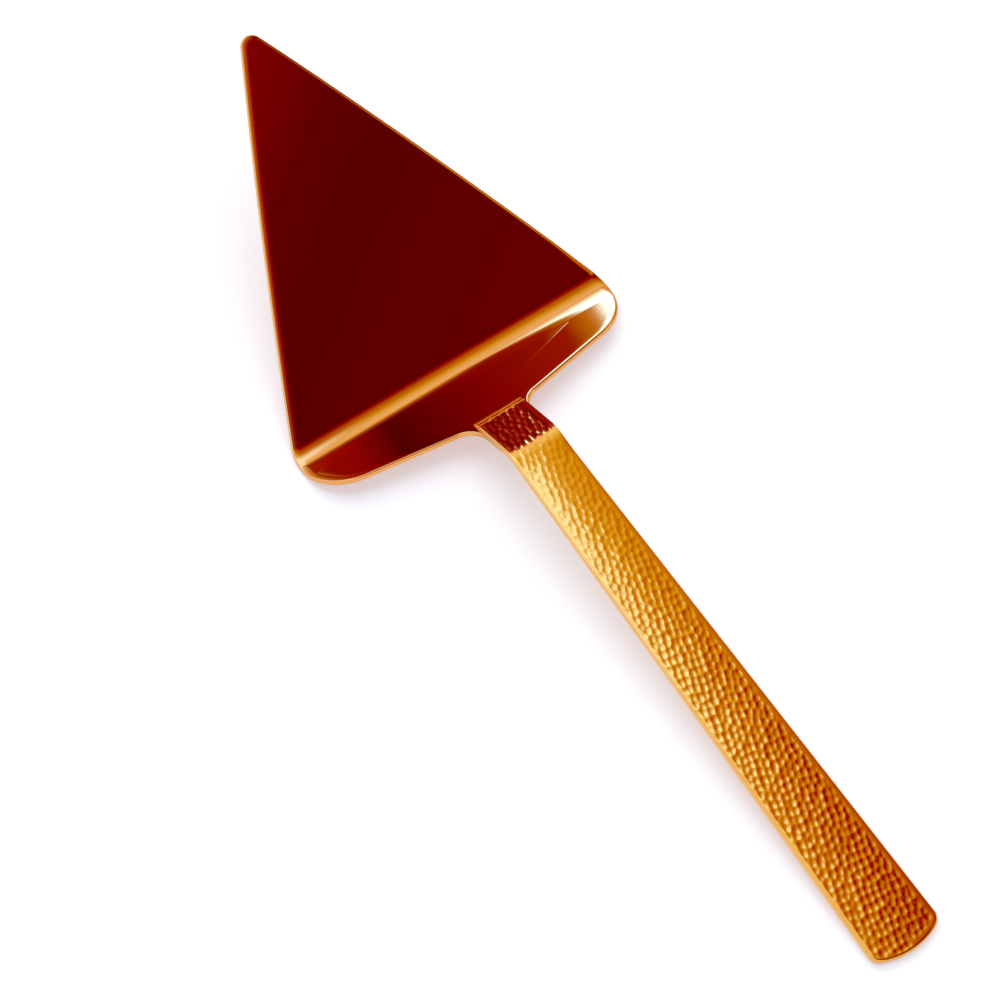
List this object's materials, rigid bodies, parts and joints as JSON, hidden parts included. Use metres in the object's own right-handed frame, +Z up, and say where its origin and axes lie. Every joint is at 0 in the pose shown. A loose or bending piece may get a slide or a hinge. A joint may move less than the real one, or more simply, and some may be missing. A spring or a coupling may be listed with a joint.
{
  "type": "cake server",
  "caption": "Triangular cake server with an upturned sheet blade, a round heel bend and a riser, lapped and plug-welded under a hammered flat-bar handle that flares to a rounded end.",
  "frame": {"origin": "on the table, under the middle of the server's length and on its plane of symmetry", "axes": "+Y along the server towards the tip of the blade, +Z up from the table, +X to the right as seen from the handle"},
  "size_m": [0.077, 0.2296, 0.0336],
  "materials": {
    "blade_metal": "mirror-polished stainless sheet with a copper-gold vapour coating",
    "handle_metal": "hammered stainless bar with the same copper-gold coating, glossy in the dimples",
    "weld_metal": "weld metal ground flush and coated, satin"
  },
  "bodies": {
    "root": {"blade": "blade_metal", "handle": "handle_metal", "plug_welds": "weld_metal"}
  },
  "joints": []
}
